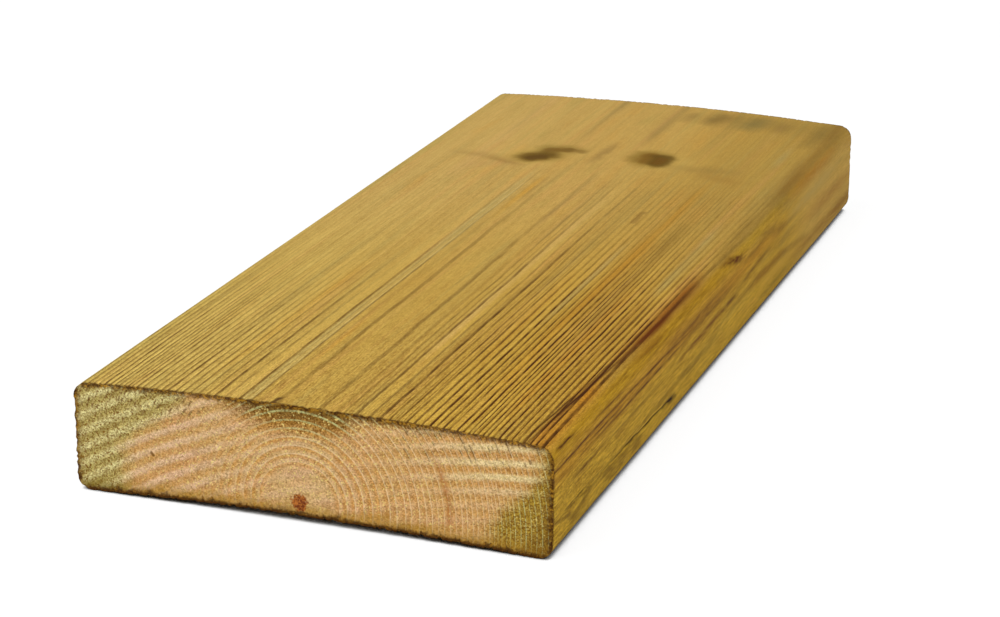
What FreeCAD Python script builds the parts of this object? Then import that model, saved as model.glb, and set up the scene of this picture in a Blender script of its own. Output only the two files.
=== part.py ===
import FreeCAD, Part
import os
import Sketcher
from math import atan2, pi, sqrt

# One short length of treated softwood decking board, planed all round, lying flat.
# Millimetres, +Z up. The board runs along Y, its nearer sawn end at -Y. The origin is
# the middle of its footprint, on the surface that it lies on.

doc = FreeCAD.newDocument("decking_board")

# The driving sizes. The board has cupped as it dried, crown up: it rests along its two
# bottom arrises, and its middle stands clear of the surface by the cup's rise.
sizes = doc.addObject("Spreadsheet::Sheet", "Sizes")
driving_sizes = (
    ("board_length", 335.0, "from sawn end to sawn end"),
    ("board_width", 140.0, "from edge to edge"),
    ("board_thickness", 32.0, "from underside to face, at the middle"),
    ("cup_rise", 1.7, "the gap under the middle of the underside"),
    ("top_arris_radius", 4.5, "the rounding of the two long top edges"),
    ("bottom_arris_radius", 5.0, "the rounding of the two long bottom edges"),
)
for row, (name, value, meaning) in enumerate(driving_sizes, start=1):
    sizes.set(f"A{row}", name)
    sizes.set(f"B{row}", str(value))
    sizes.set(f"C{row}", meaning)
    sizes.setAlias(f"B{row}", name)
doc.recompute()


def origin_plane(body, role):
    """The body's own origin plane that has this role."""
    return next(plane for plane in body.Origin.OriginFeatures if plane.Role == role)


def arc_between(center, radius, start_angle, end_angle):
    """An arc of the section, counter-clockwise from one angle to the other."""
    circle = Part.Circle(center, FreeCAD.Vector(0, 0, 1), radius)
    return Part.ArcOfCircle(circle, start_angle, end_angle)


def angle_from(center, point):
    """The direction of a point as it is seen from a centre."""
    return atan2(point.y - center.y, point.x - center.x)


def mirrored(point):
    """The same point on the left half of the section."""
    return FreeCAD.Vector(-point.x, point.y, 0)


# The section, seen along the board. The face and the underside are two arcs about one
# point far below the board, so the thickness is the same all across. The long edges
# are upright and flat, and each arris is an arc tangent to the two surfaces it joins.
board = doc.addObject("PartDesign::Body", "decking_board")
board.Label = "decking_board"
section = board.newObject("Sketcher::SketchObject", "section")
section.AttachmentSupport = (origin_plane(board, "XZ_Plane"), "")
section.MapMode = "FlatFace"

half_width = sizes.board_width / 2
top_radius = sizes.top_arris_radius
bottom_radius = sizes.bottom_arris_radius

bottom_right = FreeCAD.Vector(half_width - bottom_radius, bottom_radius, 0)
underside_radius = (bottom_right.x ** 2 + sizes.cup_rise ** 2) / (2 * sizes.cup_rise) - bottom_radius
cup_center = FreeCAD.Vector(0, sizes.cup_rise - underside_radius, 0)

face_radius = underside_radius + sizes.board_thickness
top_reach = half_width - top_radius
top_right_height = cup_center.y + sqrt((face_radius - top_radius) ** 2 - top_reach ** 2)
top_right = FreeCAD.Vector(top_reach, top_right_height, 0)

face_start = angle_from(cup_center, top_right)
underside_start = angle_from(cup_center, bottom_right)

face = section.addGeometry(arc_between(cup_center, face_radius, face_start, pi - face_start))
top_left_arris = section.addGeometry(arc_between(mirrored(top_right), top_radius, pi - face_start, pi))
left_edge = section.addGeometry(Part.LineSegment(
    FreeCAD.Vector(-half_width, top_right.y, 0), FreeCAD.Vector(-half_width, bottom_right.y, 0)))
bottom_left_arris = section.addGeometry(arc_between(
    mirrored(bottom_right), bottom_radius, pi, 2 * pi - underside_start))
underside = section.addGeometry(arc_between(
    cup_center, underside_radius, underside_start, pi - underside_start))
bottom_right_arris = section.addGeometry(arc_between(
    bottom_right, bottom_radius, pi + underside_start, 2 * pi))
right_edge = section.addGeometry(Part.LineSegment(
    FreeCAD.Vector(half_width, bottom_right.y, 0), FreeCAD.Vector(half_width, top_right.y, 0)))
top_right_arris = section.addGeometry(arc_between(top_right, top_radius, 0, face_start))

# Two marks on the upright axis, one on the underside and one on the face. The cup's
# rise and the thickness are measured to them.
underside_middle = section.addGeometry(Part.Point(FreeCAD.Vector(0, sizes.cup_rise, 0)), True)
face_middle = section.addGeometry(
    Part.Point(FreeCAD.Vector(0, sizes.cup_rise + sizes.board_thickness, 0)), True)


def at(place):
    """The sketcher's number for an end or the centre of a curve."""
    return {"start": 1, "end": 2, "center": 3}[place]


def axis(name):
    """The sketcher's number for its own level axis, or for its upright one."""
    return {"level": -1, "upright": -2}[name]


tangent_joints = (
    (face, "end", top_left_arris, "start"),
    (top_left_arris, "end", left_edge, "start"),
    (left_edge, "end", bottom_left_arris, "start"),
    (bottom_left_arris, "end", underside, "end"),
    (underside, "start", bottom_right_arris, "start"),
    (bottom_right_arris, "end", right_edge, "start"),
    (right_edge, "end", top_right_arris, "start"),
    (top_right_arris, "end", face, "start"),
)
for curve, place, next_curve, next_place in tangent_joints:
    section.addConstraint(Sketcher.Constraint("Tangent", curve, at(place), next_curve, at(next_place)))

section.addConstraint(Sketcher.Constraint("Coincident", face, at("center"), underside, at("center")))
section.addConstraint(Sketcher.Constraint("PointOnObject", underside, at("center"), axis("upright")))
section.addConstraint(Sketcher.Constraint("Vertical", left_edge))
section.addConstraint(Sketcher.Constraint("Vertical", right_edge))
section.addConstraint(Sketcher.Constraint("Equal", top_left_arris, top_right_arris))
section.addConstraint(Sketcher.Constraint("Equal", bottom_left_arris, bottom_right_arris))
for mark, curve in ((underside_middle, underside), (face_middle, face)):
    section.addConstraint(Sketcher.Constraint("PointOnObject", mark, at("start"), curve))
    section.addConstraint(Sketcher.Constraint("PointOnObject", mark, at("start"), axis("upright")))


def dimension(name, size, *constraint):
    """A named dimension of the section, bound to a size or to a share of one."""
    index = section.addConstraint(Sketcher.Constraint(*constraint))
    section.renameConstraint(index, name)
    section.setExpression(f"Constraints.{name}", size)


# Distances are measured from the sketch's own origin, which starts its level axis.
origin = (axis("level"), at("start"))
dimension("left_half_width", "Sizes.board_width / 2",
          "DistanceX", left_edge, at("start"), *origin, half_width)
dimension("right_half_width", "Sizes.board_width / 2",
          "DistanceX", *origin, right_edge, at("start"), half_width)
dimension("top_rounding", "Sizes.top_arris_radius",
          "Radius", top_right_arris, top_radius)
dimension("bottom_rounding", "Sizes.bottom_arris_radius",
          "Radius", bottom_right_arris, bottom_radius)
dimension("resting_height", "Sizes.bottom_arris_radius",
          "DistanceY", *origin, bottom_right_arris, at("center"), bottom_radius)
dimension("rise", "Sizes.cup_rise",
          "DistanceY", *origin, underside_middle, at("start"), sizes.cup_rise)
dimension("thickness", "Sizes.board_thickness",
          "DistanceY", underside_middle, at("start"), face_middle, at("start"), sizes.board_thickness)
doc.recompute()

# The length, planed to the section and sawn square at both ends.
plank = board.newObject("PartDesign::Pad", "plank")
plank.Profile = section
plank.Midplane = True
plank.setExpression("Length", "Sizes.board_length")
board.Placement = FreeCAD.Placement()
doc.recompute()

# The section is fully held, every feature has built, and the board is one sound solid.
if section.solve() != 0 or section.FullyConstrained is not True:
    raise RuntimeError("the section isn't fully constrained")
for item in doc.Objects:
    if "Invalid" in item.State or "Error" in item.State:
        raise RuntimeError(f"{item.Label} didn't build: {item.State}")
if board.Shape.isNull() or not board.Shape.isValid() or len(board.Shape.Solids) != 1:
    raise RuntimeError("the board isn't one valid solid")

os.makedirs("parts", exist_ok=True)
board.Shape.exportStep(os.path.join("parts", board.Label + ".step"))

box = board.Shape.BoundBox
print(f"board {box.XLength:.3f} x {box.YLength:.3f} x {box.ZLength:.3f} mm, lowest {box.ZMin:.4f}")
print(f"volume {board.Shape.Volume / 1000:.2f} cm3, underside radius {underside_radius:.1f} mm")
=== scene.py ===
import math

import bmesh
import bpy
from mathutils import Matrix, Vector


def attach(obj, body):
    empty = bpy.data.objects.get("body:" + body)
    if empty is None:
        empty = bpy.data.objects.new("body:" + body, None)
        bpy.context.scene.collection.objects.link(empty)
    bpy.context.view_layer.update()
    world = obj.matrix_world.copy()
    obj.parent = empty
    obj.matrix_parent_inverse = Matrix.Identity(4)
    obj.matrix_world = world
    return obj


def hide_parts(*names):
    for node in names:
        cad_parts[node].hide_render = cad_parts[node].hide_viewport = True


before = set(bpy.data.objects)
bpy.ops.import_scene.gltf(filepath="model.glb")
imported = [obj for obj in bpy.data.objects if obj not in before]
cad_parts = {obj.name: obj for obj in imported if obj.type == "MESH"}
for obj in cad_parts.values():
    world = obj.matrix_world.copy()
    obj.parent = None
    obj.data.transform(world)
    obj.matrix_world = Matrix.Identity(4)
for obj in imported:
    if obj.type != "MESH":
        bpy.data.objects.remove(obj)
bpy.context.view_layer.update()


# The blank
# One length of softwood decking, sawn from the heart of a trunk and planed on all four
# sides, its long edges rounded by the planer. It has dried with a shallow cup, crown up.

millimetre = 0.001
board_length = 335.0 * millimetre
board_width = 140.0 * millimetre
board_thickness = 32.0 * millimetre
top_arris_radius = 4.5 * millimetre
bottom_arris_radius = 5.0 * millimetre
cup_rise = 1.7 * millimetre
arris_facets = 8
same_place = 1.0e-6


def select_edges(board, wanted):
    """In edit mode, selects the edges whose two ends pass the test."""
    bpy.ops.mesh.select_all(action="DESELECT")
    bpy.ops.mesh.select_mode(type="EDGE")
    mesh = bmesh.from_edit_mesh(board.data)
    for edge in mesh.edges:
        if wanted(edge.verts[0].co, edge.verts[1].co):
            edge.select_set(True)
    bmesh.update_edit_mesh(board.data)


def runs(first, second, axis):
    """True where an edge runs along one axis only."""
    step = second - first
    others = [abs(step[other]) for other in range(3) if other != axis]
    return abs(step[axis]) > same_place and max(others) < same_place


middle = board_thickness / 2
bpy.ops.object.select_all(action="DESELECT")
bpy.ops.mesh.primitive_cube_add(size=1.0, location=(0.0, 0.0, middle))
board = bpy.context.object
board.name = "board"
board.data.name = "board"
board.scale = (board_width, board_length, board_thickness)
bpy.ops.object.transform_apply(location=True, rotation=False, scale=True)

bpy.ops.object.mode_set(mode="EDIT")
select_edges(board, lambda a, b: runs(a, b, 1) and a.z > middle)
bpy.ops.mesh.bevel(offset=top_arris_radius, segments=arris_facets, profile=0.5)
select_edges(board, lambda a, b: runs(a, b, 1) and a.z < middle)
bpy.ops.mesh.bevel(offset=bottom_arris_radius, segments=arris_facets, profile=0.5)

# The end caps come off while the long sides are divided, and are filled again as grids.
bpy.ops.mesh.select_all(action="DESELECT")
bpy.ops.mesh.select_mode(type="FACE")
mesh = bmesh.from_edit_mesh(board.data)
for face in mesh.faces:
    face.select_set(abs(face.normal.y) > 0.9)
bmesh.update_edit_mesh(board.data)
bpy.ops.mesh.delete(type="ONLY_FACE")

# The face is too finely divided for one cut, so each of 4 strips is cut into 86 columns.
# More rows are cut close to the ends, at these depths, where the saw broke the fibres.
columns_across = (4, 86)
columns_up = 28
rows_along = 72
broken_row_depths = (0.3 * millimetre, 0.7 * millimetre, 1.3 * millimetre, 2.4 * millimetre)
for parts in columns_across:
    select_edges(board, lambda a, b: runs(a, b, 0))
    bpy.ops.mesh.subdivide(number_cuts=parts - 1)
select_edges(board, lambda a, b: runs(a, b, 2))
bpy.ops.mesh.subdivide(number_cuts=columns_up - 1)
select_edges(board, lambda a, b: runs(a, b, 1))
bpy.ops.mesh.subdivide(number_cuts=rows_along - 1)

for end in (-1, 1):
    for depth in broken_row_depths:
        row = end * (board_length / 2 - depth)
        bpy.ops.mesh.select_all(action="SELECT")
        bpy.ops.mesh.bisect(plane_co=(0.0, row, 0.0), plane_no=(0.0, 1.0, 0.0))

# Each cap is a grid whose corners are half way round the arrises.
corner_inset = 1 - math.sin(math.radians(45.0))
top_corner = board_width / 2 - top_arris_radius * corner_inset
bottom_corner = board_width / 2 - bottom_arris_radius * corner_inset


def above_corner(point):
    """True on the face and on the upper half of its two arrises."""
    return point.z > middle and abs(point.x) < top_corner + same_place


def below_corner(point):
    """True on the underside and on the lower half of its two arrises."""
    return point.z < middle and abs(point.x) < bottom_corner + same_place


for end in (-1, 1):
    cap = end * board_length / 2
    select_edges(board, lambda a, b: abs(a.y - cap) + abs(b.y - cap) < same_place and (
        (above_corner(a) and above_corner(b)) or (below_corner(a) and below_corner(b))))
    bpy.ops.mesh.fill_grid()
bpy.ops.mesh.select_all(action="SELECT")
bpy.ops.mesh.normals_make_consistent(inside=False)
bpy.ops.object.mode_set(mode="OBJECT")


# The growth of the tree
# The board is from the heart of a pine, so each year's ring is a circle about the pith,
# and two branches of one whorl come out through the face as knots. The same reckoning
# of years gives the relief of the grain and its colour, so they lie together.

# All places and sizes in the wood are millimetres. The table gives the tree's age in
# years at some radii, and the numbers after it say how far its rings stray from circles.
pith_across = -2.6
pith_height = 5.7
years_at_radius = (
    (0.0, 0.0), (29.0, 12.0), (37.0, 16.0), (45.5, 21.0), (54.9, 27.0),
    (60.6, 32.0), (68.0, 37.0), (76.0, 42.0), (84.0, 47.0))
last_radius, last_year = years_at_radius[-1]
pith_waver = 0.20
short_waver = 0.09
long_waver = 0.14
whorl_swelling = 1.5
uneven_years = 0.26
uneven_spacing = 2.1

# The latewood's least and most share of a ring, as the cut meets it square or slantwise.
latewood_share = (0.06, 0.4092)

# A branch starts at the pith, comes out through the face, and thickens as the trunk does.
left_branch = {"foot": (-2.6, 104.0, 5.7), "through": (-21.4, 86.8, 33.4), "growth": 0.27}
right_branch = {"foot": (-2.6, 110.0, 5.7), "through": (17.6, 93.2, 33.4), "growth": 0.26}
branch_lead = 3.0
branch_merging = 7.0
endless = 1.0e6


class Reading:
    """A number that nodes work out at each point of the wood, written here like any other."""

    def __init__(self, tree, socket):
        self.tree = tree
        self.socket = socket

    def __add__(self, other):
        return reckon(self.tree, "ADD", self, other)

    def __sub__(self, other):
        return reckon(self.tree, "SUBTRACT", self, other)

    def __rsub__(self, other):
        return reckon(self.tree, "SUBTRACT", other, self)

    def __mul__(self, other):
        return reckon(self.tree, "MULTIPLY", self, other)

    def __truediv__(self, other):
        return reckon(self.tree, "DIVIDE", self, other)

    def __rtruediv__(self, other):
        return reckon(self.tree, "DIVIDE", other, self)


def feed(tree, socket, value):
    """Links a node's input to a reading or an output, or sets it to a plain number."""
    if isinstance(value, Reading):
        tree.links.new(value.socket, socket)
    elif isinstance(value, bpy.types.NodeSocket):
        tree.links.new(value, socket)
    else:
        socket.default_value = value


def reckon(tree, operation, *values):
    """One Math node."""
    node = tree.nodes.new("ShaderNodeMath")
    node.operation = operation
    for socket, value in zip(node.inputs, values):
        feed(tree, socket, value)
    return Reading(tree, node.outputs[0])


def larger(first, second):
    """The larger of a reading and another, or a number."""
    return reckon(first.tree, "MAXIMUM", first, second)


def limited(value, low, high):
    """A value held between two levels."""
    return reckon(value.tree, "MINIMUM", larger(value, low), high)


def ramp(value, low, high, to_low=0.0, to_high=1.0):
    """A value led smoothly from one level to another while it rises from low to high."""
    node = value.tree.nodes.new("ShaderNodeMapRange")
    node.interpolation_type = "SMOOTHSTEP"
    node.clamp = False
    settings = {"Value": value, "From Min": low, "From Max": high, "To Min": to_low, "To Max": to_high}
    for name, amount in settings.items():
        feed(value.tree, node.inputs[name], amount)
    return Reading(value.tree, node.outputs[0])


def hump(value, center, reach):
    """1 at the centre, falling smoothly to 0 at the reach on both sides."""
    away = reckon(value.tree, "ABSOLUTE", value - center)
    return ramp(away, 0.0, reach, 1.0, 0.0)


def measured(spot, size, seed):
    """A place counted in steps of a given size along each axis, moved on by a seed."""
    node = spot.tree.nodes.new("ShaderNodeVectorMath")
    node.operation = "MULTIPLY_ADD"
    feed(spot.tree, node.inputs[0], spot)
    node.inputs[1].default_value = [1.0 / step for step in size]
    node.inputs[2].default_value = (seed * 1.7, seed * 2.7, seed * 3.7)
    return node.outputs[0]


def mottle(spot, size, seed=0.0, detail=0.0, rough=0.5):
    """Smooth random patches of a given size along each axis, from about -1 to 1."""
    node = spot.tree.nodes.new("ShaderNodeTexNoise")
    feed(spot.tree, node.inputs["Vector"], measured(spot, size, seed))
    feed(spot.tree, node.inputs["Scale"], 1.0)
    feed(spot.tree, node.inputs["Detail"], detail)
    feed(spot.tree, node.inputs["Roughness"], rough)
    return reckon(spot.tree, "MULTIPLY_ADD", node.outputs[0], 2.6, -1.3)


def grains(spot, size, seed=0.0):
    """Small grains of a given size along each axis, each of one random tone from -1 to 1."""
    node = spot.tree.nodes.new("ShaderNodeTexVoronoi")
    feed(spot.tree, node.inputs["Vector"], measured(spot, size, seed))
    feed(spot.tree, node.inputs["Scale"], 1.0)
    split = spot.tree.nodes.new("ShaderNodeSeparateColor")
    feed(spot.tree, split.inputs[0], node.outputs["Color"])
    return reckon(spot.tree, "MULTIPLY_ADD", split.outputs[0], 2.0, -1.0)


def chance(value, seed):
    """One random number from 0 to 1 for each whole number."""
    node = value.tree.nodes.new("ShaderNodeTexWhiteNoise")
    node.noise_dimensions = "1D"
    feed(value.tree, node.inputs["W"], value + seed)
    return Reading(value.tree, node.outputs[0])


def branch_age(place, branch):
    """How far the tree had grown when a branch reached this place, as a trunk radius."""
    tree = place[0].tree
    foot = Vector(branch["foot"])
    lean = (Vector(branch["through"]) - foot).normalized()
    off = [place[axis] - foot[axis] for axis in range(3)]
    along = off[0] * lean.x + off[1] * lean.y + off[2] * lean.z
    aside = off[0] * off[0] + off[1] * off[1] + off[2] * off[2] - along * along
    aside = reckon(tree, "SQRT", larger(aside, 0.0))
    return reckon(tree, "ABSOLUTE", along) / branch_lead + aside / branch["growth"]


def growth(tree, point):
    """Everything about the wood at a place: its millimetres, its year and its knots."""
    enlarge = tree.nodes.new("ShaderNodeVectorMath")
    enlarge.operation = "SCALE"
    feed(tree, enlarge.inputs[0], point)
    feed(tree, enlarge.inputs["Scale"], 1.0 / millimetre)
    spot = Reading(tree, enlarge.outputs[0])
    split = tree.nodes.new("ShaderNodeSeparateXYZ")
    feed(tree, split.inputs[0], spot)
    x, y, z = [Reading(tree, socket) for socket in split.outputs]

    # The trunk swells at the whorl, and its rings waver a little along the board.
    across = x - pith_across + mottle(spot, (endless, 90.0, endless), 3.1) * pith_waver
    height = z - pith_height
    radius = reckon(tree, "SQRT", across * across + height * height)
    short_waves = mottle(spot, (14.0, 17.0, 14.0), 5.3) * short_waver
    long_waves = mottle(spot, (45.0, 110.0, 45.0), 8.9) * long_waver
    swelling = ramp(y, -40.0, 75.0) * ramp(radius, 62.0, 73.0) * whorl_swelling
    trunk = radius + (short_waves + long_waves) - swelling

    # Wood belongs to a branch where that grew before the trunk came so far, and its rings
    # bend over smoothly into the trunk's.
    left_age = branch_age((x, y, z), left_branch)
    right_age = branch_age((x, y, z), right_branch)
    branches = reckon(tree, "MINIMUM", left_age, right_age)
    knot = ramp(trunk - branches, -3.0, 3.0)
    merged = reckon(tree, "SMOOTH_MIN", trunk, branches, branch_merging)

    curve = tree.nodes.new("ShaderNodeFloatCurve")
    feed(tree, curve.inputs["Value"], merged / last_radius)
    line = curve.mapping.curves[0]
    line.points[0].location = (0.0, 0.0)
    line.points[1].location = (1.0, 1.0)
    for reach, years in years_at_radius[1:-1]:
        line.points.new(reach / last_radius, years / last_year)
    for point_on_line in line.points:
        point_on_line.handle_type = "VECTOR"
    curve.mapping.update()
    uneven = tree.nodes.new("ShaderNodeTexNoise")
    uneven.noise_dimensions = "1D"
    feed(tree, uneven.inputs["W"], merged / uneven_spacing)
    feed(tree, uneven.inputs["Scale"], 1.0)
    feed(tree, uneven.inputs["Detail"], 0.0)
    years = Reading(tree, curve.outputs[0]) * last_year
    years = years + (Reading(tree, uneven.outputs[0]) - 0.5) * uneven_years

    # The latewood is a line of one width, whether the ring is cut square or slantwise.
    season = reckon(tree, "FRACT", years)
    year = reckon(tree, "FLOOR", years)
    to_side = ramp(reckon(tree, "ABSOLUTE", x), 66.5, 69.0)
    reach_across = reckon(tree, "ABSOLUTE", across)
    reach_up = reckon(tree, "ABSOLUTE", height)
    slant = (reach_across + (reach_up - reach_across) * to_side) / radius
    least, most = latewood_share
    share = (limited(slant, 0.10, 1.0) - 0.10) * (most - least) + least
    latewood = ramp(season, 1.0 - share * 1.6, 1.0 - share * 0.7) * ramp(season, 0.965, 1.0, 1.0, 0.0)
    return {
        "spot": spot, "place": (x, y, z), "radius": radius, "year": year, "season": season,
        "latewood": latewood, "knot": knot, "branches": branches, "trunk": trunk}


# The worked surface
# The planer leaves the hard latewood a little proud. The saw leaves ridges on the ends
# and breaks the fibres out along their arrises. As it dried, the board cupped, and a fine
# check opened along its right edge.

half_length = board_length / millimetre / 2
half_breadth = board_width / millimetre / 2
thickness = board_thickness / millimetre

# How far the surface stands out or is set back, near end first where it has two values.
latewood_proud = (0.045, 0.02)
face_unevenness = 0.10
knot_proud = 0.12
check_depth = 0.6
end_fuzz = 0.06
end_set_back = 0.1
breakage_depth = (0.65, 0.25)
breakage_reach = 0.7

# The circular saw stood below the board, to its right, and moved on a little each tooth.
saw_hub_across = 80.0
saw_hub_below = 244.0
saw_radius = 260.0
saw_step = 4.18
first_ridge = 1.63

# The check starts this high on the right edge and falls slowly along it.
check_start = -150.0
check_height = 10.5
check_fall = 0.039


def cup(tree, x):
    """How far the cupped board stands above the flat one, in millimetres."""
    bearing = board_width / 2 - bottom_arris_radius
    bow = (bearing ** 2 + cup_rise ** 2) / (2 * cup_rise) / millimetre
    return reckon(tree, "SQRT", (x * x) * -1.0 + bow * bow) - (bow - cup_rise / millimetre)


def from_sawn_end(wood):
    """The distance from the nearer sawn end."""
    y = wood["place"][1]
    return half_length - reckon(y.tree, "ABSOLUTE", y)


def from_section_outline(wood):
    """The distance from the outline of the board's section."""
    x, z = wood["place"][0], wood["place"][2]
    tree = x.tree
    height = z - cup(tree, x)
    from_side = half_breadth - reckon(tree, "ABSOLUTE", x)
    from_face = reckon(tree, "MINIMUM", thickness - height, height)
    return larger(reckon(tree, "MINIMUM", from_face, from_side), 0.0)


def saw_marks(wood):
    """The arcs that the circular saw left on an end: from -1 to 1 across each."""
    x, z = wood["place"][0], wood["place"][2]
    tree = x.tree
    aside = x - saw_hub_across
    above = z + saw_hub_below
    from_arc = reckon(tree, "SQRT", aside * aside + above * above) - saw_radius
    wobble = mottle(wood["spot"], (26.0, 30.0, 7.0), 2.2) * 0.35
    return reckon(tree, "COSINE", (from_arc + first_ridge + wobble) / saw_step * (2 * math.pi))


def drying_check(wood, width):
    """The crack along the right edge, opening towards its far end, from 0 to 1."""
    x, y, z = wood["place"]
    wander = mottle(wood["spot"], (20.0, 9.0, 20.0), 1.5, 1.0) * 0.35
    line = check_height - (y - check_start) * check_fall + wander
    opening = larger(hump(y, -145.0, 10.0) * 0.8, ramp(y, -132.0, -98.0, 0.3, 1.0))
    length = opening * ramp(y, -164.0, -150.0) * ramp(y, -64.0, -58.0, 1.0, 0.0)
    return hump(z, line, width) * length * ramp(x, 68.5, 69.2)


def relief(tree, wood, facing_along):
    """How far each point of the surface stands out, in millimetres."""
    x, y = wood["place"][:2]
    spot = wood["spot"]
    on_end = ramp(reckon(tree, "ABSOLUTE", facing_along), 0.6, 0.9)

    planed = (wood["latewood"] - 1.0) * ramp(y, -60.0, 80.0, *latewood_proud)
    planed = planed + mottle(spot, (24.0, 60.0, 24.0), 4.4) * face_unevenness
    planed = planed + wood["knot"] * knot_proud
    planed = planed - drying_check(wood, 0.9) * check_depth

    sawn = saw_marks(wood) * (ramp(x, -60.0, -5.0, 0.06, 0.02) + ramp(x, 15.0, 60.0, 0.0, 0.03))
    sawn = sawn + mottle(spot, (0.9, 0.9, 0.9), 6.1, 1.0) * end_fuzz
    sawn = sawn - end_set_back

    breakage = ramp(mottle(spot, (1.3, 6.0, 1.3), 9.7, 1.0, 0.6), -0.25, 0.7)
    breakage = breakage * (1.0 - wood["latewood"] * 0.6) + 0.15
    from_arris = from_sawn_end(wood) + from_section_outline(wood)
    nearness = reckon(tree, "EXPONENT", from_arris / -breakage_reach)
    depth = ramp(y, -120.0, 120.0, *breakage_depth)
    return planed * (1.0 - on_end) + sawn * on_end - breakage * nearness * depth


def surface_tree():
    """Cups the flat board and then raises the relief of the worked surface on it."""
    tree = bpy.data.node_groups.new("worked_surface", "GeometryNodeTree")
    tree.interface.new_socket("Geometry", in_out="INPUT", socket_type="NodeSocketGeometry")
    tree.interface.new_socket("Geometry", in_out="OUTPUT", socket_type="NodeSocketGeometry")
    entry = tree.nodes.new("NodeGroupInput")
    result = tree.nodes.new("NodeGroupOutput")

    flat_place = tree.nodes.new("GeometryNodeInputPosition")
    flat_split = tree.nodes.new("ShaderNodeSeparateXYZ")
    feed(tree, flat_split.inputs[0], flat_place.outputs[0])
    lift = tree.nodes.new("ShaderNodeCombineXYZ")
    flat_across = Reading(tree, flat_split.outputs[0]) * (1.0 / millimetre)
    feed(tree, lift.inputs[2], cup(tree, flat_across) * millimetre)
    cupped = tree.nodes.new("GeometryNodeSetPosition")
    feed(tree, cupped.inputs["Geometry"], entry.outputs[0])
    feed(tree, cupped.inputs["Offset"], lift.outputs[0])

    place = tree.nodes.new("GeometryNodeInputPosition")
    facing = tree.nodes.new("GeometryNodeInputNormal")
    facing_split = tree.nodes.new("ShaderNodeSeparateXYZ")
    feed(tree, facing_split.inputs[0], facing.outputs[0])
    facing_along = Reading(tree, facing_split.outputs[1])
    wood = growth(tree, place.outputs[0])
    outward = tree.nodes.new("ShaderNodeVectorMath")
    outward.operation = "SCALE"
    feed(tree, outward.inputs[0], facing.outputs[0])
    feed(tree, outward.inputs["Scale"], relief(tree, wood, facing_along) * millimetre)
    worked = tree.nodes.new("GeometryNodeSetPosition")
    feed(tree, worked.inputs["Geometry"], cupped.outputs[0])
    feed(tree, worked.inputs["Offset"], outward.outputs[0])
    feed(tree, result.inputs[0], worked.outputs[0])
    return tree


# The planed faces
# Pine that was pressed full of a copper treatment: golden brown on the face, greener and
# browner in streaks, with the latewood of each ring as a thin dark line.

def paint(red, green, blue):
    """A colour as it looks on a chart, from 0 to 255, as the light that it throws back."""
    shares = [value / 255.0 for value in (red, green, blue)]
    return tuple(s / 12.92 if s <= 0.04045 else ((s + 0.055) / 1.055) ** 2.4 for s in shares) + (1.0,)


def coat(tree, under, over, share):
    """Lays one colour over another, by a share from 0 to 1."""
    node = tree.nodes.new("ShaderNodeMix")
    node.data_type = "RGBA"
    feed(tree, node.inputs[0], share)
    feed(tree, node.inputs[6], under)
    feed(tree, node.inputs[7], over)
    return node.outputs[2]


def tone(tree, colour, amount):
    """Makes wood darker and redder below 0, or lighter and paler above it."""
    amount = larger(amount, -0.6)
    gain = tree.nodes.new("ShaderNodeCombineColor")
    for socket, share in zip(gain.inputs, (1.0, 1.22, 1.55)):
        feed(tree, socket, reckon(tree, "MULTIPLY_ADD", amount, share, 1.0))
    toned = tree.nodes.new("ShaderNodeMix")
    toned.data_type = "RGBA"
    toned.blend_type = "MULTIPLY"
    toned.inputs[0].default_value = 1.0
    feed(tree, toned.inputs[6], colour)
    feed(tree, toned.inputs[7], gain.outputs[0])
    return toned.outputs[2]


def new_finish(name):
    """An empty material with its surface shader, and the wood at each point of it."""
    finish = bpy.data.materials.new(name)
    finish.use_nodes = True
    tree = finish.node_tree
    shader = tree.nodes["Principled BSDF"]
    coordinates = tree.nodes.new("ShaderNodeTexCoord")
    return finish, tree, shader, growth(tree, coordinates.outputs["Object"])


def roughen(tree, shader, height):
    """Relief too fine for the mesh, as a height in millimetres."""
    bump = tree.nodes.new("ShaderNodeBump")
    bump.inputs["Strength"].default_value = 1.0
    bump.inputs["Distance"].default_value = millimetre
    feed(tree, bump.inputs["Height"], height)
    feed(tree, shader.inputs["Normal"], bump.outputs[0])


def new_brush(name, inputs):
    """An empty group of shader nodes that reckons one mark from its inputs."""
    brush = bpy.data.node_groups.new(name, "ShaderNodeTree")
    for socket_name in inputs:
        brush.interface.new_socket(socket_name, in_out="INPUT", socket_type="NodeSocketFloat")
    brush.interface.new_socket("mark", in_out="OUTPUT", socket_type="NodeSocketFloat")
    entry = brush.nodes.new("NodeGroupInput")
    result = brush.nodes.new("NodeGroupOutput")
    return brush, [Reading(brush, entry.outputs[name]) for name in inputs], result.inputs["mark"]


mark_settings = (
    "across", "along", "start_across", "start_along", "stop_across", "stop_along", "half_width", "strength")


def along_and_away(inputs):
    """How far a point has passed along a mark, its length, and the distance off it squared."""
    across, along, start_across, start_along, stop_across, stop_along = inputs[:6]
    tree = across.tree
    reach_across = stop_across - start_across
    reach_along = stop_along - start_along
    length = reckon(tree, "SQRT", reach_across * reach_across + reach_along * reach_along)
    lean_across = reach_across / length
    lean_along = reach_along / length
    off_across = across - start_across
    off_along = along - start_along
    passed = reckon(tree, "MULTIPLY_ADD", off_across, lean_across, off_along * lean_along)
    passed = limited(passed, 0.0, length)
    aside = reckon(tree, "MULTIPLY_ADD", passed, lean_across * -1.0, off_across)
    beyond = reckon(tree, "MULTIPLY_ADD", passed, lean_along * -1.0, off_along)
    return passed, length, reckon(tree, "MULTIPLY_ADD", aside, aside, beyond * beyond)


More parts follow.
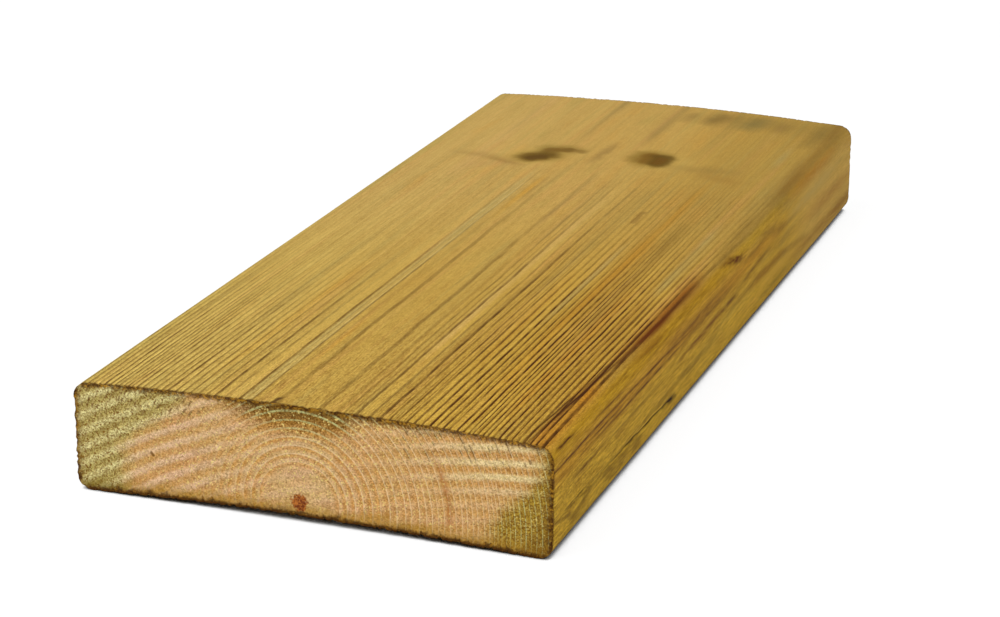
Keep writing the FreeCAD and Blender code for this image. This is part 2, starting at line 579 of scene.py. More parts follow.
def blot_brush():
    """A blot from one point to another, with a soft edge all round."""
    brush, inputs, result = new_brush("blot", mark_settings)
    half_width, strength = inputs[-2:]
    away = along_and_away(inputs)[2]
    fall = -1.2 / (half_width * half_width * half_width * half_width)
    feed(brush, result, reckon(brush, "EXPONENT", away * away * fall) * strength)
    return brush


def wisp_brush():
    """A thin streak of grain from one point to another, lost at its two ends."""
    brush, inputs, result = new_brush("wisp", mark_settings)
    half_width, strength = inputs[-2:]
    passed, length, away = along_and_away(inputs)
    fall = -2.2 / (half_width * half_width)
    peak = strength * 5.0 / (length * length)
    ends = passed * (length - passed) * peak
    feed(brush, result, reckon(brush, "EXPONENT", away * fall) * ends)
    return brush


def streak_brush():
    """A long streak down the board that fades in and out at its two ends."""
    fade = 30.0
    brush, inputs, result = new_brush("streak", (
        "across", "along", "center", "start", "stop", "reach", "strength"))
    across, along, center, start, stop, reach, strength = inputs
    lengthwise = ramp(along, start, start + fade) * ramp(along, stop - fade, stop, 1.0, 0.0)
    feed(brush, result, hump(across, center, reach) * lengthwise * strength)
    return brush


def mark(tree, brush, settings):
    """Uses a brush, with its inputs set to the settings in their order."""
    node = tree.nodes.new("ShaderNodeGroup")
    node.node_tree = brush
    for socket, value in zip(node.inputs, settings):
        feed(tree, socket, value)
    return Reading(tree, node.outputs[0])


def marked(tree, colour, brush, across, along, marks, share):
    """Lays marks over a colour, each from one point to another, at a share of their strength."""
    for start, stop, half_width, tint, strength in marks:
        drawn = mark(tree, brush, (across, along, *start, *stop, half_width, strength)) * share
        colour = coat(tree, colour, tint, drawn)
    return colour


blot = blot_brush()
wisp = wisp_brush()
streak = streak_brush()

planed_face, tree, shader, wood = new_finish("planed_treated_pine")
spot = wood["spot"]
x, y, z = wood["place"]
on_edge = ramp(x, 67.5, 69.6)
on_face = ramp(z, 24.0, 29.0)
near = ramp(y, -60.0, 60.0, 1.0, 0.0)

golden = paint(204, 170, 84)
honey = paint(199, 160, 72)
ochre = paint(201, 157, 57)
dry_tan = paint(203, 165, 96)
colour = coat(tree, golden, honey, ramp(x, -55.0, -8.0))
colour = coat(tree, colour, ochre, ramp(x, 2.0, 45.0))
colour = coat(tree, colour, dry_tan, ramp(y, -80.0, 60.0, 0.0, 0.55) * ramp(x, -70.0, 66.0, 1.0, 0.55))
colour = coat(tree, colour, paint(174, 140, 62), ramp(x, 12.0, 50.0) * ramp(y, -70.0, 60.0) * 0.62)
# The right edge is painted its own ochre, kept a little lighter to make up the light on the side: partly its
# own colour, partly painted light.
edge_paint = coat(tree, paint(213, 168, 50), paint(213, 171, 78), ramp(y, 60.0, 120.0))
colour = coat(tree, colour, edge_paint, on_edge)

# The treatment went in unevenly: soft clouds of olive and orange drawn out along the grain.
clouds = mottle(spot, (7.0, 34.0, 5.0), 2.4, 2.0)
cloudiness = 0.34 - near * 0.14
colour = coat(tree, colour, paint(170, 150, 74), ramp(clouds, 0.05, 0.9) * cloudiness)
colour = coat(tree, colour, paint(212, 156, 66), ramp(clouds, -0.05, -0.9) * cloudiness)
drift = mottle(spot, (3.2, 130.0, 9.0), 7.4, 1.0) * on_face
colour = coat(tree, colour, paint(166, 146, 80), ramp(drift, 0.05, 0.8) * 0.34)
colour = coat(tree, colour, paint(214, 160, 88), ramp(drift, -0.05, -0.8) * 0.34)

# Streaks down the face: how far across, start, stop, half width, tint and strength.
grey_green = paint(170, 162, 104)
orange = paint(212, 154, 44)
brown = paint(128, 92, 42)
streaks = (
    (-67.5, -190.0, 190.0, 5.0, paint(160, 144, 60), 0.35),
    (-33.5, -160.0, -35.0, 2.6, orange, 0.35),
    (-32.5, -90.0, -45.0, 1.8, paint(196, 126, 44), 0.35),
    (-18.2, -190.0, 78.0, 1.9, paint(188, 174, 112), 0.42),
    (-16.4, -190.0, 66.0, 1.0, paint(206, 192, 128), 0.35),
    (-12.3, -145.0, -85.0, 1.3, orange, 0.45),
    (-12.6, 0.0, 72.0, 2.0, orange, 0.60),
    (-11.0, 20.0, 74.0, 1.3, brown, 0.25),
    (3.8, -5.0, 82.0, 1.5, paint(136, 116, 72), 0.35),
    (10.2, -25.0, 76.0, 1.3, paint(136, 112, 64), 0.35),
    (15.0, -130.0, 60.0, 2.4, paint(208, 172, 100), 0.45),
    (20.8, -140.0, 0.0, 1.7, brown, 0.30),
    (26.0, -70.0, 75.0, 3.2, paint(150, 132, 66), 0.35),
    (36.5, -90.0, 10.0, 1.6, paint(186, 166, 108), 0.40),
    (41.8, -110.0, 82.0, 3.4, paint(186, 130, 30), 0.50),
    (48.0, -90.0, 40.0, 4.0, paint(140, 108, 38), 0.45),
    (58.6, -55.0, 40.0, 2.4, grey_green, 0.50),
    (57.0, 92.0, 140.0, 2.6, grey_green, 0.40),
    (57.0, -190.0, -40.0, 8.0, paint(158, 106, 26), 0.35),
    (43.0, -150.0, 20.0, 5.0, paint(192, 130, 24), 0.35),
    (51.5, -165.0, -30.0, 2.6, paint(182, 112, 18), 0.35),
    (31.0, -140.0, -20.0, 2.4, paint(190, 136, 36), 0.35),
    (65.4, -190.0, -100.0, 4.8, paint(190, 114, 4), 0.85),
    (65.8, -120.0, -5.0, 4.0, paint(152, 80, 0), 0.85),
    (66.2, -20.0, 90.0, 4.4, paint(130, 98, 26), 0.34),
    (66.2, 52.0, 200.0, 4.8, paint(120, 80, 14), 0.55),
    (-44.0, 40.0, 190.0, 5.0, paint(214, 168, 102), 0.35),
    (-16.0, 96.0, 190.0, 2.6, paint(150, 120, 66), 0.35),
    (-22.0, 100.0, 190.0, 3.0, paint(208, 170, 90), 0.35),
    (7.0, 100.0, 190.0, 3.6, paint(150, 122, 64), 0.55),
    (30.0, 92.0, 190.0, 5.0, paint(160, 130, 62), 0.35),
    (47.0, 84.0, 190.0, 4.0, paint(196, 158, 80), 0.30),
)
patchy = ramp(mottle(spot, (4.0, 45.0, 9.0), 6.1, 1.0), -0.8, 0.5, 0.45, 1.0) * on_face
for center, start, stop, reach, tint, strength in streaks:
    drawn = mark(tree, streak, (x, y, center, start, stop, reach, strength)) * patchy
    colour = coat(tree, colour, tint, drawn)

# Each ring has its own tone. Its line comes and goes along the board, strongest at the
# nearer end and on the right, and it is nearly lost beyond the knots.
line_depth = chance(wood["year"], 4.0) * 0.4 + 0.6
line_depth = line_depth * (1.0 - hump(x, -1.0, 27.0) * 0.55) * ramp(x, 18.0, 46.0, 1.0, 1.36)
line_depth = line_depth * ramp(mottle(spot, (2.0, 9.0, 2.0), 7.7, 2.0), -0.7, 0.4, 0.50, 1.0)
kept_left = ramp(y, -150.0, -20.0, 1.0, 0.12)
kept_middle = ramp(y, -80.0, 60.0, 1.0, 0.34)
kept_right = ramp(y, -100.0, 30.0, 1.0, 0.26)
kept = kept_left + (kept_middle - kept_left) * ramp(x, -24.0, -18.0)
kept = kept + (kept_right - kept) * ramp(x, 20.0, 28.0)
kept = kept * ramp(y, 48.0, 82.0, 1.0, 0.22)
kept = kept * (1.0 - hump(x, -20.5, 2.4) * ramp(y, -120.0, -20.0, 0.0, 0.5))
line_depth = line_depth * kept * (1.0 - on_edge * 0.6)
line_paint = coat(tree, paint(92, 58, 12), paint(82, 46, 4), ramp(x, 0.0, 34.0))
colour = coat(tree, colour, line_paint, wood["latewood"] * line_depth)

# Some years also have a fainter line half way, from a dry spell in summer.
false_ring = hump(wood["season"], 0.42, 0.14) * ramp(chance(wood["year"], 19.0), 0.3, 0.7)
false_ring = false_ring * kept * ramp(x, -30.0, 30.0, 0.25, 0.55) * on_face
colour = coat(tree, colour, paint(116, 76, 22), false_ring)

# Fibres and specks, plainest at the nearer end.
fineness = ramp(y, -167.0, -60.0, 1.0, 0.36) * ramp(y, 40.0, 100.0, 1.0, 0.60)
fibres = mottle(spot, (0.50, 6.0, 0.50), 1.9, 1.0) * 0.30
specks = grains(spot, (0.32, 0.8, 0.32), 3.3) * 0.20
lift = ramp(y, -167.0, -60.0, 0.12, 0.0) * ramp(reckon(tree, "ABSOLUTE", x - 6.0), 14.0, 34.0) * on_face
band_tone = chance(wood["year"], 11.0) * 0.16 - 0.08
streaky = mottle(spot, (1.3, 34.0, 1.3), 2.7, 1.0) * 0.12
colour = tone(tree, colour, (band_tone + streaky) * (near * 0.6 + 0.4) + (fibres + specks) * fineness + lift)

# The knots are hard, brown and darkest round their rims, in a paler halo. Dark bark and
# curled grain lie about them. Each mark has a start and a stop, as places across and
# along the face, its half width, its tint and its strength. The last two marks are small
# flecks away from the knots.
halo = ramp(wood["branches"] - wood["trunk"], 0.0, 30.0, 1.0, 0.0) * on_face
colour = coat(tree, colour, paint(208, 174, 88), halo * 0.40)
knot_x = x + mottle(spot, (4.0, 4.0, 4.0), 4.1, 1.0) * 1.1
knot_y = y + mottle(spot, (4.0, 4.0, 4.0), 9.1, 1.0) * 1.1
knot_marks = (
    ((-25.6, 83.0), (-20.4, 86.2), 8.0, paint(150, 118, 38), 0.60),
    ((-22.5, 94.6), (-15.0, 95.6), 6.0, paint(146, 116, 46), 0.55),
    ((-24.8, 82.6), (-20.8, 86.0), 5.8, paint(102, 72, 4), 0.88),
    ((-21.6, 93.6), (-16.6, 94.8), 3.6, paint(116, 80, 10), 0.75),
    ((-16.0, 95.4), (-10.5, 94.2), 2.2, paint(130, 98, 36), 0.55),
    ((-25.4, 81.4), (-21.4, 83.6), 2.8, paint(90, 60, 12), 0.55),
    ((11.0, 93.0), (11.6, 98.0), 5.4, paint(146, 114, 42), 0.65),
    ((16.4, 89.4), (16.0, 98.0), 7.4, paint(146, 112, 34), 0.60),
    ((14.6, 90.4), (14.6, 97.6), 4.0, paint(120, 82, 8), 0.75),
    ((19.4, 89.0), (19.0, 96.8), 4.5, paint(100, 72, 4), 0.88),
    ((18.6, 90.0), (18.8, 95.0), 2.2, paint(120, 76, 6), 0.45),
    ((31.6, 22.0), (31.8, 33.0), 1.2, paint(126, 88, 36), 0.45),
    ((-9.8, -168.5), (-9.3, -164.0), 1.0, paint(70, 38, 8), 0.85),
)
colour = marked(tree, colour, blot, knot_x, knot_y, knot_marks, on_face)

# Fainter wisps about the knots, and grey-green stains near the far end, where a bearer
# kept the board damp.
faint_marks = (
    ((-58.0, 84.0), (-30.0, 78.0), 5.0, paint(152, 118, 60), 0.26),
    ((-42.0, 80.0), (-23.0, 70.5), 3.2, paint(140, 102, 40), 0.38),
    ((-46.0, 66.0), (-26.0, 76.0), 7.0, paint(184, 140, 84), 0.20),
    ((20.0, 86.0), (52.0, 91.0), 7.0, paint(148, 116, 54), 0.32),
    ((34.0, 83.0), (54.0, 78.0), 6.0, paint(164, 122, 50), 0.35),
    ((-3.6, 78.0), (-1.4, 112.0), 2.8, paint(128, 98, 50), 0.36),
    ((8.0, 157.0), (70.0, 155.0), 14.0, paint(142, 116, 52), 0.34),
    ((20.0, 143.0), (25.0, 164.0), 6.4, paint(96, 76, 30), 0.38),
    ((34.5, 141.0), (39.0, 165.0), 6.6, paint(100, 100, 58), 0.34),
    ((12.0, 144.0), (13.0, 161.0), 4.0, paint(126, 102, 52), 0.28),
    ((47.0, 144.0), (48.0, 160.0), 4.0, paint(128, 96, 44), 0.22),
    ((60.5, 128.0), (62.5, 172.0), 4.6, paint(104, 88, 36), 0.36),
)
colour = marked(tree, colour, wisp, knot_x, knot_y, faint_marks, on_face)

# Resin darkened a few lines of grain along the right border.
resin_marks = (
    ((61.6, -180.0), (66.4, -84.0), 0.8, paint(70, 32, 0), 0.80),
    ((60.4, -176.0), (64.0, -112.0), 0.5, paint(70, 34, 0), 0.75),
    ((63.4, -132.0), (65.0, -58.0), 0.5, paint(80, 40, 0), 0.65),
    ((65.8, -112.0), (67.6, -20.0), 1.0, paint(92, 42, 0), 0.70),
    ((59.4, -100.0), (60.4, -48.0), 0.5, paint(84, 48, 8), 0.60),
    ((66.0, -88.0), (67.6, -54.0), 1.8, paint(110, 50, 0), 0.55),
)
resin_x = x + mottle(spot, (4.0, 30.0, 4.0), 4.8, 1.0) * 0.5
colour = marked(tree, colour, wisp, resin_x, y, resin_marks, on_face)

# The right edge, cut along the rings: lines and broad flames of late growth, a yellow
# lens under the top arris that ends in a brown tip, and the drying check. The places of
# these marks are along the board and up the edge.
lens = ramp(z, 25.0, 28.5) * ramp(y, -20.0, 40.0, 1.0, 0.0) * on_edge
colour = coat(tree, colour, paint(210, 156, 22), lens * 0.66)
warm_band = hump(z, 23.5, 6.0) * ramp(y, 30.0, 90.0, 1.0, 0.0) * on_edge
colour = coat(tree, colour, paint(190, 122, 22), warm_band * 0.45)
edge_fibres = mottle(spot, (30.0, 11.0, 0.5), 6.6, 2.0, 0.8) * on_edge
colour = tone(tree, colour, edge_fibres * ramp(y, -60.0, 100.0, 0.58, 0.18))
edge_y = y + mottle(spot, (30.0, 5.0, 1.5), 3.9, 1.0) * 4.0
edge_z = z + mottle(spot, (30.0, 22.0, 30.0), 5.5, 2.0, 0.6) * 0.36
broken = ramp(mottle(spot, (30.0, 7.0, 0.7), 8.5, 1.0), -0.9, 0.2, 0.40, 1.0) * on_edge
flame = paint(98, 54, 12)
olive = paint(132, 106, 44)
edge_marks = (
    ((-185.0, 24.9), (-96.0, 24.4), 0.6, flame, 0.85),
    ((-122.0, 24.6), (-40.0, 22.4), 0.7, flame, 0.80),
    ((-70.0, 23.9), (0.0, 23.9), 1.5, flame, 0.55),
    ((-142.0, 22.8), (-108.0, 22.5), 0.6, flame, 0.75),
    ((-140.0, 21.4), (-36.0, 20.8), 0.7, flame, 0.80),
    ((-52.0, 21.3), (12.0, 21.2), 1.8, flame, 0.50),
    ((-165.0, 29.9), (-147.0, 29.3), 0.5, flame, 0.95),
    ((-134.0, 27.4), (-106.0, 26.8), 0.6, flame, 0.60),
    ((-98.0, 30.8), (-64.0, 30.0), 1.8, paint(140, 82, 14), 0.55),
    ((-154.0, 17.3), (-130.0, 17.0), 0.8, flame, 0.70),
    ((-128.0, 16.8), (-70.0, 16.2), 0.8, flame, 0.40),
    ((-62.0, 16.7), (16.0, 16.9), 1.5, paint(116, 60, 12), 0.65),
    ((-70.0, 24.6), (-45.0, 27.0), 1.6, paint(150, 96, 20), 0.35),
    ((-12.0, 33.2), (20.0, 26.2), 1.6, paint(104, 48, 6), 0.90),
    ((16.0, 25.0), (50.0, 25.2), 1.3, flame, 0.38),
    ((36.0, 27.8), (72.0, 23.0), 2.2, paint(122, 84, 24), 0.45),
    ((52.0, 22.6), (92.0, 22.2), 1.6, flame, 0.36),
    ((34.0, 18.6), (104.0, 17.6), 3.2, paint(138, 94, 34), 0.30),
    ((6.0, 17.8), (56.0, 21.0), 1.4, flame, 0.50),
    ((-10.0, 16.9), (14.0, 17.0), 1.3, flame, 0.60),
    ((-4.0, 13.8), (54.0, 15.0), 1.6, flame, 0.40),
    ((24.0, 13.8), (78.0, 13.2), 2.4, paint(138, 82, 20), 0.50),
    ((46.0, 14.4), (108.0, 9.2), 2.4, paint(128, 82, 22), 0.45),
    ((36.0, 10.6), (98.0, 9.4), 3.0, paint(220, 174, 66), 0.65),
    ((34.0, 6.0), (84.0, 6.0), 1.8, olive, 0.35),
    ((76.0, 31.2), (150.0, 30.6), 3.4, paint(196, 130, 28), 0.55),
    ((70.0, 24.0), (150.0, 23.4), 3.4, paint(198, 166, 88), 0.55),
    ((96.0, 15.6), (176.0, 14.6), 4.4, paint(168, 112, 40), 0.45),
    ((76.0, 7.2), (130.0, 6.8), 2.2, paint(150, 98, 28), 0.40),
    ((112.0, 6.6), (190.0, 6.4), 3.2, paint(148, 94, 20), 0.55),
    ((-56.0, 10.6), (0.0, 9.8), 2.2, olive, 0.22),
    ((-70.0, 7.5), (-55.0, 6.8), 1.3, paint(50, 28, 6), 0.90),
)
colour = marked(tree, colour, wisp, edge_y, edge_z, edge_marks, broken)
# The check is painted near black along its line: painted shade inside the crack.
colour = coat(tree, colour, paint(38, 20, 4), drying_check(wood, 0.55) * 0.9)
# Painted shade: the foot of both side edges, where the lower arris turns in towards the floor, is painted
# dark brown.
painted_foot_shade = ramp(z, 1.2, 3.8, 1.0, 0.0) * ramp(reckon(tree, "ABSOLUTE", x), 62.0, 67.0)
colour = coat(tree, colour, paint(58, 38, 10), painted_foot_shade * 0.88)

# The very end of each face is bruised brown by the saw.
bruise = from_sawn_end(wood) + mottle(spot, (0.8, 0.8, 0.8), 4.0, 1.0) * 0.5
bruise = ramp(bruise, 0.1, 1.0, 1.0, 0.0)
colour = coat(tree, colour, paint(84, 52, 14), bruise * 0.75)
feed(tree, shader.inputs["Base Color"], colour)
shader.inputs["Roughness"].default_value = 0.78
shader.inputs["Specular IOR Level"].default_value = 0.12
roughen(tree, shader, (fibres + specks) * fineness * 0.4)


# The sawn ends
# Cut across the grain by a circular saw. The heartwood is a fresh pinkish tan that the
# treatment hasn't reached; the sapwood and a rim all round have taken it, olive and brown.

sawn_end, tree, shader, wood = new_finish("sawn_pine_end")
spot = wood["spot"]
x, y, z = wood["place"]
radius = wood["radius"]
above_underside = z - cup(tree, x)
below_face = thickness - above_underside

tan = paint(216, 180, 122)
amber = paint(208, 146, 62)
pink = paint(222, 172, 132)
ragged = mottle(spot, (3.0, 3.0, 3.0), 8.0, 3.0)
colour = coat(tree, tan, pink, ramp(mottle(spot, (13.0, 16.0, 7.0), 2.0, 2.0), -0.3, 0.7) * 0.75)
colour = coat(tree, colour, amber, ramp(mottle(spot, (7.0, 16.0, 4.0), 7.0, 2.0), 0.0, 0.9) * 0.40)
colour = coat(tree, colour, paint(208, 156, 86), ramp(x, 4.0, 22.0) * 0.55)
growth_band = ramp(wood["season"], 0.20, 0.60) * ramp(wood["season"], 0.78, 0.90, 1.0, 0.0)
band_depth = ramp(radius, 20.0, 30.0, 0.62, 0.34) * ramp(radius, 8.0, 13.0) * ramp(x, -45.0, -12.0, 0.3, 1.0)
colour = coat(tree, colour, amber, growth_band * band_depth)

# Saw marks: the crests are burnished and painted pale, partly a painted highlight on the ridges; the hollows
# hold the treatment and are painted darker, partly painted shade.
# The sapwood took most of the treatment, down both sides and as a cap over the top of the rings.
left_sap = ramp(x + ragged * 3.0 - ramp(z, 14.0, 32.0) * 19.0, -59.0, -50.0, 1.0, 0.0)
right_sap = ramp(x + ragged * 1.5 - ramp(z, 6.0, 25.0) * 14.0, 49.0, 56.0)
soaked_corner = ramp(x - above_underside * 0.5, 56.0, 66.0)
cap_left = ramp(x - below_face * 1.3 + ragged * 4.0, -34.0, -16.0)
cap_right = ramp(x + below_face * 0.8 + ragged * 3.0, 11.0, 23.0, 1.0, 0.0)
cap_arc = ramp(radius + ragged * 2.0, 16.0, 21.5) * ramp(below_face + ragged * 2.0, 4.0, 13.0, 1.0, 0.0)
tail = ramp(below_face + ragged, 1.0, 3.8, 1.0, 0.0)
tail = tail * ramp(x, 4.0, 12.0) * ramp(x, 30.0, 44.0, 1.0, 0.0)
top_sap = larger(cap_left * cap_right * cap_arc, tail * 0.75)
colour = coat(tree, colour, paint(206, 191, 116), left_sap * 0.85)

saw = saw_marks(wood)
crest = ramp(saw + mottle(spot, (2.2, 4.0, 0.9), 3.4, 1.0) * 0.6, -1.0, 1.1)
left_marks = ramp(x, -50.0, 4.0, 1.0, 0.20)
right_marks = ramp(x, 14.0, 56.0) * ramp(z, 12.0, 22.0, 0.10, 1.0)
# Crest paint: burnish and painted highlight.
crest_burnish_and_highlight = coat(tree, paint(230, 192, 156), paint(208, 200, 138), left_sap * 0.9)
crest_burnish_and_highlight = coat(tree, crest_burnish_and_highlight, paint(244, 222, 162), right_marks)
colour = coat(tree, colour, crest_burnish_and_highlight, crest * (left_marks * 0.60 + right_marks * 0.66))
# Hollow paint: treatment and painted shade.
hollow_treatment_and_shade = coat(tree, paint(200, 142, 62), paint(142, 118, 44), left_sap)
colour = coat(tree, colour, hollow_treatment_and_shade, (1.0 - crest) * (left_marks * 0.60 + right_marks * 0.36))

colour = coat(tree, colour, paint(154, 124, 24), right_sap * 0.85)
colour = coat(tree, colour, paint(120, 84, 12), soaked_corner * 0.55)
cap_paint = coat(tree, paint(190, 134, 50), paint(96, 70, 8), ramp(below_face + ragged, 0.0, 8.0, 1.0, 0.18))
colour = coat(tree, colour, cap_paint, top_sap * 0.92)

# Short dark tears along the rings under the top arris, left and right.
tears = ramp(wood["season"], 0.50, 0.75) * ramp(mottle(spot, (1.6, 1.6, 1.6), 3.0), -0.1, 0.4)
tears = tears * ramp(reckon(tree, "ABSOLUTE", x + 3.0), 20.0, 32.0) * ramp(z, 19.0, 28.0)
colour = coat(tree, colour, paint(108, 76, 22), tears * 0.82)

# Cut fibres stand up as bright flecks and dark pits.
grain = grains(spot, (0.36, 0.36, 0.36), 2.0)
coarse = grains(spot, (0.75, 0.75, 0.75), 5.0)
fuzz = mottle(spot, (0.45, 0.45, 0.45), 5.0, 1.0, 0.8)
soaked = larger(larger(top_sap, right_sap), left_sap)
strength = soaked * 0.50 + top_sap * 0.40 + 0.85
colour = tone(tree, colour, (grain * 0.30 + coarse * 0.04 + fuzz * 0.15) * strength)

# The latewood shows as thin pale lines, broken into specks, and one ring is brown.
# Their paleness is a painted sheen for the glossy latewood.
ring_line = ramp(wood["season"] + top_sap * 0.08, 0.76, 0.86) * ramp(wood["season"], 0.93, 1.0, 1.0, 0.0)
ring_broken = ramp(mottle(spot, (0.8, 0.8, 0.8), 6.0, 1.0), -0.7, 0.2, 0.30, 1.0)
ring_line = ring_line * ring_broken * ramp(radius, 9.0, 14.0) * (chance(wood["year"], 3.0) * 0.4 + 0.6)
ring_sheen_paint = coat(tree, paint(244, 214, 164), paint(198, 200, 134), larger(top_sap, right_sap))
colour = coat(tree, colour, ring_sheen_paint, ring_line * larger(ramp(x, -30.0, 2.0, 0.20, 0.85), top_sap))
brown_ring = hump(radius + ragged * 0.7, 43.6, 1.5) * ramp(x, 30.0, 36.0)
brown_ring = brown_ring * ramp(z, 3.0, 8.0) * ramp(z, 20.0, 28.0, 1.0, 0.0)
colour = coat(tree, colour, paint(178, 106, 40), brown_ring * ramp(grain + ragged, -0.9, 0.5, 0.2, 0.75))

flecks = ramp(grains(spot, (0.38, 0.38, 0.38), 9.0), 0.76, 0.92)
colour = coat(tree, colour, paint(255, 230, 140), flecks * ramp(radius, 60.0, 20.0, 0.40, 0.75))
pits = ramp(grains(spot, (0.40, 0.40, 0.40), 12.0), 0.62, 0.90)
colour = coat(tree, colour, paint(126, 80, 10), pits * (soaked * 0.5 + 0.25))
splinter = mark(tree, blot, (x, z, -46.5, 13.9, -46.0, 13.2, 0.50, 0.85))
colour = coat(tree, colour, paint(120, 80, 22), splinter)

# A rim all round where the treatment soaked in, deepest and spiky along the bottom, and below it a painted
# shade line along the very bottom edge.
spikes = ramp(mottle(spot, (1.0, 9.0, 7.0), 4.0, 1.0), 0.1, 0.9) * 1.5 + ragged * 2.2
gold_foot = ramp(above_underside + ragged * 2.0, 1.2, 5.6, 1.0, 0.0)
gold_paint = coat(tree, paint(180, 136, 44), paint(134, 112, 34), left_sap)
gold_paint = coat(tree, gold_paint, paint(122, 86, 14), soaked_corner * 0.7)
foot_spots = ramp(mottle(spot, (1.1, 9.0, 0.9), 15.0, 2.0, 0.7), -0.1, 0.5)
gold_paint = coat(tree, gold_paint, paint(104, 74, 12), foot_spots * 0.75)
colour = coat(tree, colour, gold_paint, gold_foot * 0.72)
dark_foot = ramp(above_underside - spikes, 0.3, 1.7, 1.0, 0.0)
foot_paint = coat(tree, paint(64, 34, 2), paint(140, 94, 14), ramp(coarse + fuzz, -0.2, 1.0))
colour = coat(tree, colour, foot_paint, dark_foot * 0.85)
# Painted shade: a nearly black line along the very bottom of the end, where it meets the dark gap beneath.
colour = coat(tree, colour, paint(30, 16, 2), ramp(above_underside, 0.25, 0.85, 1.0, 0.0) * 0.85)
side_rim = half_breadth - reckon(tree, "ABSOLUTE", x) + ragged
side_rim = ramp(side_rim, 0.6, 2.8, 1.0, 0.0)
side_paint = coat(tree, paint(84, 50, 8), paint(150, 108, 26), ramp(coarse, -0.3, 0.9))
colour = coat(tree, colour, side_paint, side_rim * 0.70)
rim_width = ramp(below_face, 0.5, 3.5, 2.5, 1.7)
arris_rim = from_section_outline(wood) + ragged * 0.7 + coarse * 0.35
arris_rim = ramp(arris_rim, 0.4, rim_width, 1.0, 0.0)
rim_piece = ramp(mottle(spot, (1.1, 9.0, 0.7), 13.0, 2.0, 0.8), -0.1, 0.4)
rim_piece = rim_piece * ramp(above_underside, 3.0, 14.0, 0.15, 1.0)
rim_paint = coat(tree, paint(74, 40, 0), paint(178, 128, 30), rim_piece)
colour = coat(tree, colour, rim_paint, arris_rim * 0.92)

# The pith is a small red-brown star.
pith_star = radius + mottle(spot, (0.8, 9.0, 0.8), 4.0, 1.0) * 1.1
pith = ramp(pith_star, 1.9, 2.8, 1.0, 0.0)
pith_paint = coat(tree, paint(190, 112, 44), paint(116, 44, 4), ramp(fuzz + grain * 0.4, -0.4, 0.3))
colour = coat(tree, colour, pith_paint, pith * 0.95)
feed(tree, shader.inputs["Base Color"], colour)
shader.inputs["Roughness"].default_value = 0.82
shader.inputs["Specular IOR Level"].default_value = 0.12
roughen(tree, shader, grain * 0.05 + fuzz * 0.08 + saw * 0.05 + flecks * 0.08 - pits * 0.10)


# The finished board
# Each face takes its finish. Then the board is cupped and its surface worked, and it is
# shaded smooth except over its sawn arrises.

board.data.materials.append(planed_face)
board.data.materials.append(sawn_end)
for face in board.data.polygons:
    face.material_index = 1 if abs(face.normal.y) > 0.9 else 0

surface = board.modifiers.new("worked_surface", "NODES")
surface.node_group = surface_tree()
bpy.ops.object.modifier_apply(modifier=surface.name)
bpy.ops.object.shade_smooth_by_angle(angle=math.radians(35.0))

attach(board, "root")
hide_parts("decking_board")


# Where it lies
# A plain white floor. The camera sees it white, with the board's contact shadow, which
# is a little wider before the near end, and with the dark gap under the cup.

bpy.ops.object.select_all(action="DESELECT")
bpy.ops.mesh.primitive_plane_add(size=12.0, location=(0.0, 0.0, 0.0))
floor = bpy.context.object
floor.name = "floor"
floor_paint = bpy.data.materials.new("floor_paint")
floor_paint.use_nodes = True
tree = floor_paint.node_tree
tree.nodes.remove(tree.nodes["Principled BSDF"])
output = tree.nodes["Material Output"]
seen = tree.nodes.new("ShaderNodeLightPath")
matt = tree.nodes.new("ShaderNodeBsdfDiffuse")
matt.inputs["Color"].default_value = (0.92, 0.92, 0.92, 1.0)
seen_matt = tree.nodes.new("ShaderNodeBsdfDiffuse")
seen_matt.inputs["Color"].default_value = (0.10, 0.10, 0.10, 1.0)


def open_sky(distance, samples):
    """The share of the sky that a point of the floor sees past what is this near to it."""
    nearby = tree.nodes.new("ShaderNodeAmbientOcclusion")
    nearby.samples = samples
    feed(tree, nearby.inputs["Distance"], distance)
    return Reading(tree, nearby.outputs["AO"])


floor_place = tree.nodes.new("ShaderNodeTexCoord")
floor_split = tree.nodes.new("ShaderNodeSeparateXYZ")
feed(tree, floor_split.inputs[0], floor_place.outputs["Object"])
along_board = Reading(tree, floor_split.outputs[1])
shadow_reach = ramp(along_board, -0.172, -0.168, 0.0032, 0.0015)
gap_reach = 0.008
beside_board = ramp(open_sky(shadow_reach, 5), 0.48, 0.80, 0.40, 1.0)
under_board = ramp(open_sky(gap_reach, 9), 0.24, 0.42)
glow = tree.nodes.new("ShaderNodeEmission")
feed(tree, glow.inputs["Strength"], beside_board * under_board * 0.95)
both = tree.nodes.new("ShaderNodeAddShader")
feed(tree, both.inputs[0], seen_matt.outputs[0])
feed(tree, both.inputs[1], glow.outputs[0])
in_view = reckon(tree, "MAXIMUM", seen.outputs["Is Camera Ray"], seen.outputs["Is Glossy Ray"])
in_view = reckon(tree, "MAXIMUM", in_view, seen.outputs["Is Transmission Ray"])
chosen = tree.nodes.new("ShaderNodeMixShader")
feed(tree, chosen.inputs[0], in_view)
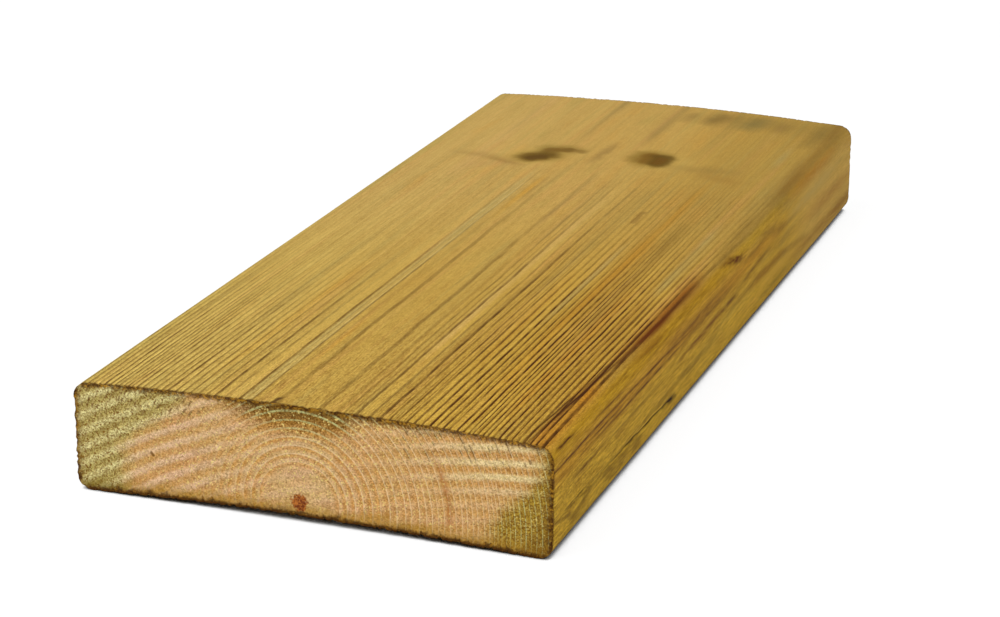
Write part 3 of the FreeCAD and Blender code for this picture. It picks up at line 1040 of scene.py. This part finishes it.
feed(tree, chosen.inputs[1], matt.outputs[0])
feed(tree, chosen.inputs[2], both.outputs[0])
feed(tree, output.inputs["Surface"], chosen.outputs[0])
floor.data.materials.append(floor_paint)


# The light
# A white studio round the board, and one broad lamp above its near left corner.

studio = bpy.data.worlds.new("studio")
bpy.context.scene.world = studio
studio.use_nodes = True
tree = studio.node_tree
wall = tree.nodes["Background"]
wall.inputs["Color"].default_value = (1.0, 1.0, 1.0, 1.0)
room_light = 0.42
seen = tree.nodes.new("ShaderNodeLightPath")
in_view = reckon(tree, "MAXIMUM", seen.outputs["Is Camera Ray"], seen.outputs["Is Transmission Ray"])
feed(tree, wall.inputs["Strength"], ramp(in_view, 0.0, 1.0, room_light, 1.0))

lamp_data = bpy.data.lights.new("lamp", "AREA")
lamp_data.shape = "DISK"
lamp_data.size = 1.6
lamp_data.energy = 40.0
lamp = bpy.data.objects.new("lamp", lamp_data)
bpy.context.scene.collection.objects.link(lamp)
toward_lamp = Vector((-0.35, -0.45, 0.82)).normalized()
lamp_distance = 2.4
lamp.location = toward_lamp * lamp_distance
lamp.rotation_euler = toward_lamp.to_track_quat("Z", "Y").to_euler()


# The camera
# It looks down on the near right corner from most of a metre away, with a long lens.

camera_data = bpy.data.cameras.new("camera")
camera_data.sensor_fit = "HORIZONTAL"
camera_data.sensor_width = 36.0
camera_data.lens = 97.02
camera = bpy.data.objects.new("camera", camera_data)
bpy.context.scene.collection.objects.link(camera)
standpoint = Vector((0.27804, -0.77676, 0.29360))
right_of_view = Vector((0.93870, 0.34474, 0.00286))
line_of_view = Vector((-0.32476, 0.88702, -0.32822))
up_in_view = right_of_view.cross(line_of_view)
camera.matrix_world = Matrix((
    (right_of_view.x, up_in_view.x, -line_of_view.x, standpoint.x),
    (right_of_view.y, up_in_view.y, -line_of_view.y, standpoint.y),
    (right_of_view.z, up_in_view.z, -line_of_view.z, standpoint.z),
    (0.0, 0.0, 0.0, 1.0)))
bpy.context.scene.camera = camera
bpy.context.scene.view_settings.view_transform = "Standard"
